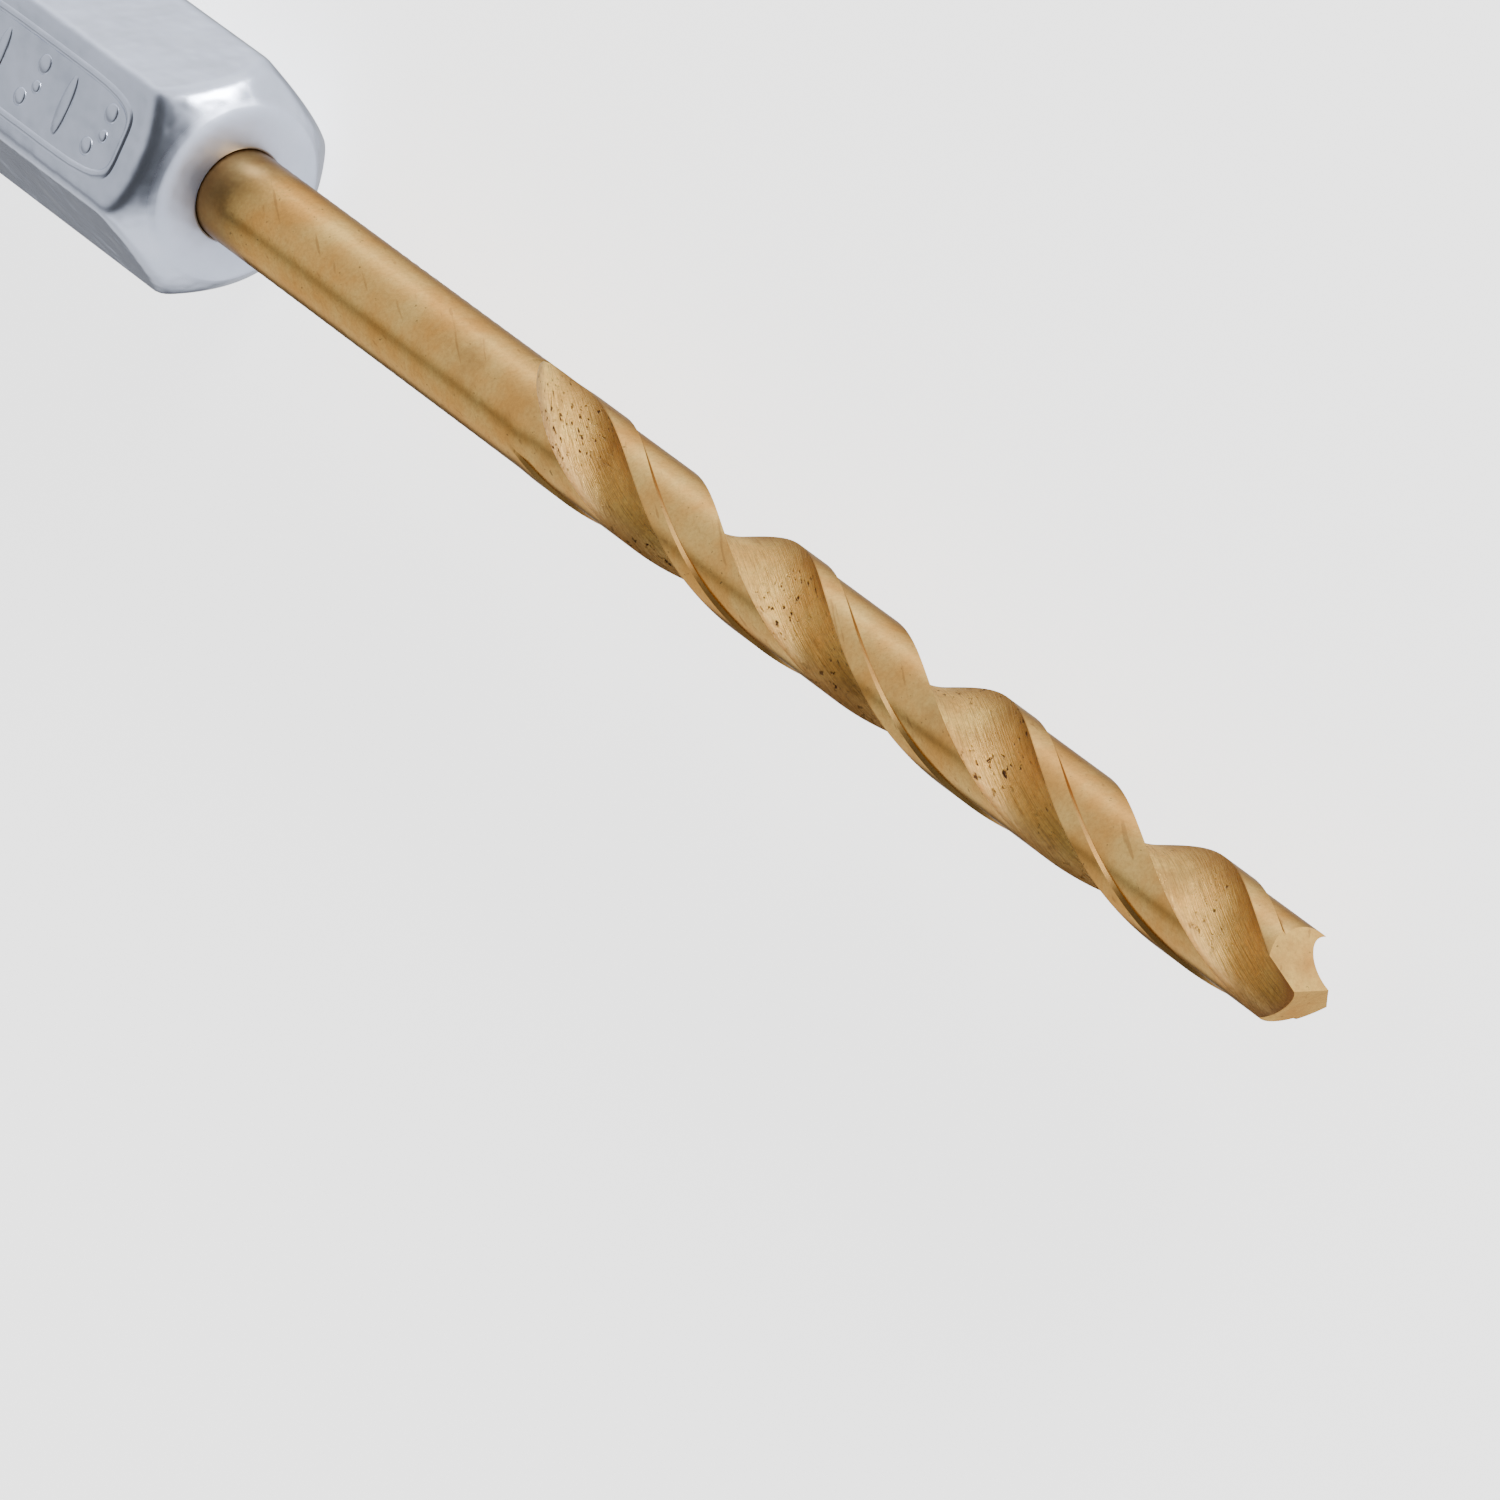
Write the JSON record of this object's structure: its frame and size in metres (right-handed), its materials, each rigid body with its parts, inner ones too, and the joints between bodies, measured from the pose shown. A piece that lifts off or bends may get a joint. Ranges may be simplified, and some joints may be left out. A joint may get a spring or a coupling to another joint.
{
  "type": "hex-shank twist drill bit",
  "caption": "Coated right-hand two-flute twist drill pressed into a quarter-inch hexagonal quick-change shank.",
  "frame": {"origin": "centre of the shank's rear end face, on the tool axis", "axes": "+X along the tool axis toward the cutting point, +Z out of the marked flat, +Y completes the right-handed frame"},
  "size_m": [0.076, 0.0072, 0.0064],
  "materials": {
    "coated_tool_steel": "satin gold nitride coating",
    "shank_steel": "soft satin, as formed"
  },
  "bodies": {
    "root": {"drill_bit": "coated_tool_steel", "hex_shank": "shank_steel"}
  },
  "joints": []
}
